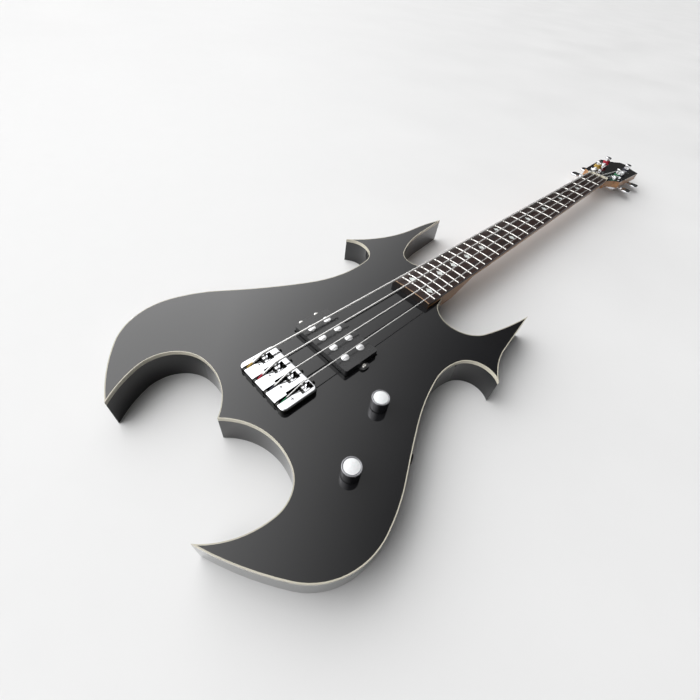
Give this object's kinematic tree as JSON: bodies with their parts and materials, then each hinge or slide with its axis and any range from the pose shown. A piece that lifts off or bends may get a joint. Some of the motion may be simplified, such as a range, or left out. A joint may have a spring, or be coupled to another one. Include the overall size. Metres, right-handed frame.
{
  "type": "electric bass guitar",
  "caption": "Solid-body electric bass guitar with pointed horns, a scooped tail, a bolt-on neck, worm-gear tuners, sliding bridge saddles, a height-adjusted pickup and turning knobs.",
  "frame": {"origin": "on the flat back under the saddles, on the centreline of the neck", "axes": "+X along the neck to the headstock, +Y to the bass side, +Z out of the face"},
  "size_m": [1.2283, 0.3735, 0.056],
  "materials": {
    "body": "gloss black lacquer over wood",
    "body_binding": "gloss cream",
    "neck": "satin natural wood",
    "headstock_veneer": "gloss black lacquer",
    "fretboard": "oiled dark wood",
    "frets": "polished",
    "fretboard_inlays": "pearl",
    "nut": "polished off-white",
    "truss_rod": "plain steel",
    "truss_rod_nut": "bright",
    "truss_rod_cover": "gloss black",
    "neck_screws": "mirror chrome",
    "neck_ferrules": "mirror chrome",
    "tuner_plates": "mirror chrome",
    "tuner_bushings": "mirror chrome",
    "small_wood_screws": "mirror chrome",
    "bridge_base": "mirror chrome",
    "bridge_screws": "mirror chrome",
    "pickup_cover": "satin black",
    "pickup_poles": "polished",
    "pickup_coils": "taped winding",
    "pickup_screws": "mirror chrome",
    "pickup_tubes": "soft rubber",
    "volume_knob": "mirror chrome",
    "tone_knob": "mirror chrome",
    "volume_shaft": "plain",
    "tone_shaft": "plain",
    "pot_cases": "plated",
    "sleeve_nuts": "mirror chrome",
    "tone_capacitor": "dipped",
    "wiring": "insulated wire",
    "control_cover": "satin black",
    "output_jack": "mirror chrome",
    "jack_plate": "mirror chrome",
    "strap_buttons": "mirror chrome",
    "strap_screws": "mirror chrome",
    "string_e": "round wound",
    "tuner_post_e": "mirror chrome",
    "tuner_key_e": "mirror chrome",
    "saddle_e": "mirror chrome",
    "saddle_height_screws_e": "plain steel",
    "intonation_screw_e": "mirror chrome",
    "string_a": "round wound",
    "tuner_post_a": "mirror chrome",
    "tuner_key_a": "mirror chrome",
    "saddle_a": "mirror chrome",
    "saddle_height_screws_a": "plain steel",
    "intonation_screw_a": "mirror chrome",
    "string_d": "round wound",
    "tuner_post_d": "mirror chrome",
    "tuner_key_d": "mirror chrome",
    "saddle_d": "mirror chrome",
    "saddle_height_screws_d": "plain steel",
    "intonation_screw_d": "mirror chrome",
    "string_g": "round wound",
    "tuner_post_g": "mirror chrome",
    "tuner_key_g": "mirror chrome",
    "saddle_g": "mirror chrome",
    "saddle_height_screws_g": "plain steel",
    "intonation_screw_g": "mirror chrome"
  },
  "bodies": {
    "frame": {"body": "body", "body_binding": "body_binding", "neck": "neck", "headstock_veneer": "headstock_veneer", "fretboard": "fretboard", "frets": "frets", "fretboard_inlays": "fretboard_inlays", "nut": "nut", "truss_rod": "truss_rod", "truss_rod_cover": "truss_rod_cover", "neck_screws": "neck_screws", "neck_ferrules": "neck_ferrules", "tuner_plates": "tuner_plates", "tuner_bushings": "tuner_bushings", "small_wood_screws": "small_wood_screws", "bridge_base": "bridge_base", "bridge_screws": "bridge_screws", "pickup_tubes": "pickup_tubes", "pot_cases": "pot_cases", "sleeve_nuts": "sleeve_nuts", "tone_capacitor": "tone_capacitor", "wiring": "wiring", "control_cover": "control_cover", "output_jack": "output_jack", "jack_plate": "jack_plate", "strap_buttons": "strap_buttons", "strap_screws": "strap_screws", "string_e": "string_e", "string_a": "string_a", "string_d": "string_d", "string_g": "string_g"},
    "key_e": {"tuner_key_e": "tuner_key_e"},
    "post_e": {"tuner_post_e": "tuner_post_e"},
    "saddle_e_block": {"saddle_e": "saddle_e", "saddle_height_screws_e": "saddle_height_screws_e"},
    "intonation_e": {"intonation_screw_e": "intonation_screw_e"},
    "key_a": {"tuner_key_a": "tuner_key_a"},
    "post_a": {"tuner_post_a": "tuner_post_a"},
    "saddle_a_block": {"saddle_a": "saddle_a", "saddle_height_screws_a": "saddle_height_screws_a"},
    "intonation_a": {"intonation_screw_a": "intonation_screw_a"},
    "key_d": {"tuner_key_d": "tuner_key_d"},
    "post_d": {"tuner_post_d": "tuner_post_d"},
    "saddle_d_block": {"saddle_d": "saddle_d", "saddle_height_screws_d": "saddle_height_screws_d"},
    "intonation_d": {"intonation_screw_d": "intonation_screw_d"},
    "key_g": {"tuner_key_g": "tuner_key_g"},
    "post_g": {"tuner_post_g": "tuner_post_g"},
    "saddle_g_block": {"saddle_g": "saddle_g", "saddle_height_screws_g": "saddle_height_screws_g"},
    "intonation_g": {"intonation_screw_g": "intonation_screw_g"},
    "pickup": {"pickup_cover": "pickup_cover", "pickup_poles": "pickup_poles", "pickup_coils": "pickup_coils", "pickup_screws": "pickup_screws"},
    "volume_control": {"volume_knob": "volume_knob", "volume_shaft": "volume_shaft"},
    "tone_control": {"tone_knob": "tone_knob", "tone_shaft": "tone_shaft"},
    "truss_nut": {"truss_rod_nut": "truss_rod_nut"}
  },
  "joints": [
    {"name": "key_e_turn", "type": "hinge", "parent": "frame", "child": "key_e", "pos_m": [0.91596, 0.024, 0.01749], "axis": [0, 1, 0], "continuous": true},
    {"name": "post_e_turn", "type": "hinge", "parent": "frame", "child": "post_e", "pos_m": [0.92978, 0.024, 0.02327], "axis": [0.0523, 0, 0.9986], "continuous": true},
    {"name": "intonation_e_turn", "type": "hinge", "parent": "frame", "child": "intonation_e", "pos_m": [0.00646, 0.0263, 0.0427], "axis": [-1, 0, 0], "range_deg": [-1542.86, 1028.57]},
    {"name": "saddle_e_slide", "type": "slide", "parent": "frame", "child": "saddle_e_block", "axis": [1, 0, 0], "range_m": [-0.003, 0.002]},
    {"name": "key_a_turn", "type": "hinge", "parent": "frame", "child": "key_a", "pos_m": [0.97887, 0.024, 0.01419], "axis": [0, 1, 0], "continuous": true},
    {"name": "post_a_turn", "type": "hinge", "parent": "frame", "child": "post_a", "pos_m": [0.9927, 0.024, 0.01998], "axis": [0.0523, 0, 0.9986], "continuous": true},
    {"name": "intonation_a_turn", "type": "hinge", "parent": "frame", "child": "intonation_a", "pos_m": [0.00646, 0.0077, 0.0427], "axis": [-1, 0, 0], "range_deg": [-1542.86, 1028.57]},
    {"name": "saddle_a_slide", "type": "slide", "parent": "frame", "child": "saddle_a_block", "axis": [1, 0, 0], "range_m": [-0.003, 0.002]},
    {"name": "key_d_turn", "type": "hinge", "parent": "frame", "child": "key_d", "pos_m": [1.00584, -0.024, 0.01278], "axis": [0, -1, 0], "continuous": true},
    {"name": "post_d_turn", "type": "hinge", "parent": "frame", "child": "post_d", "pos_m": [0.9927, -0.024, 0.01998], "axis": [0.0523, 0, 0.9986], "continuous": true},
    {"name": "intonation_d_turn", "type": "hinge", "parent": "frame", "child": "intonation_d", "pos_m": [0.00646, -0.0109, 0.0427], "axis": [-1, 0, 0], "range_deg": [-1542.86, 1028.57]},
    {"name": "saddle_d_slide", "type": "slide", "parent": "frame", "child": "saddle_d_block", "axis": [1, 0, 0], "range_m": [-0.003, 0.002]},
    {"name": "key_g_turn", "type": "hinge", "parent": "frame", "child": "key_g", "pos_m": [0.94292, -0.024, 0.01608], "axis": [0, -1, 0], "continuous": true},
    {"name": "post_g_turn", "type": "hinge", "parent": "frame", "child": "post_g", "pos_m": [0.92978, -0.024, 0.02327], "axis": [0.0523, 0, 0.9986], "continuous": true},
    {"name": "intonation_g_turn", "type": "hinge", "parent": "frame", "child": "intonation_g", "pos_m": [0.00646, -0.0295, 0.0427], "axis": [-1, 0, 0], "range_deg": [-1542.86, 1028.57]},
    {"name": "saddle_g_slide", "type": "slide", "parent": "frame", "child": "saddle_g_block", "axis": [1, 0, 0], "range_m": [-0.003, 0.002]},
    {"name": "pickup_height", "type": "slide", "parent": "frame", "child": "pickup", "axis": [0, 0, 1], "range_m": [-0.0005, 0.0025], "deforming": ["pickup_tubes"]},
    {"name": "volume_turn", "type": "hinge", "parent": "frame", "child": "volume_control", "pos_m": [0.0422, -0.0922, 0.038], "axis": [0, 0, 1], "range_deg": [-150, 150]},
    {"name": "tone_turn", "type": "hinge", "parent": "frame", "child": "tone_control", "pos_m": [-0.0291, -0.1242, 0.038], "axis": [0, 0, 1], "range_deg": [-150, 150]},
    {"name": "truss_nut_turn", "type": "hinge", "parent": "frame", "child": "truss_nut", "pos_m": [0.8746, 0, 0.0348], "axis": [1, 0, 0], "range_deg": [-360, 360]}
  ],
  "couplings": [
    {"joint": "post_e_turn", "follows": "key_e_turn", "ratio": 0.05},
    {"joint": "intonation_e_turn", "follows": "saddle_e_slide", "rad_per_m": 8976},
    {"joint": "post_a_turn", "follows": "key_a_turn", "ratio": 0.05},
    {"joint": "intonation_a_turn", "follows": "saddle_a_slide", "rad_per_m": 8976},
    {"joint": "post_d_turn", "follows": "key_d_turn", "ratio": 0.05},
    {"joint": "intonation_d_turn", "follows": "saddle_d_slide", "rad_per_m": 8976},
    {"joint": "post_g_turn", "follows": "key_g_turn", "ratio": 0.05},
    {"joint": "intonation_g_turn", "follows": "saddle_g_slide", "rad_per_m": 8976}
  ]
}
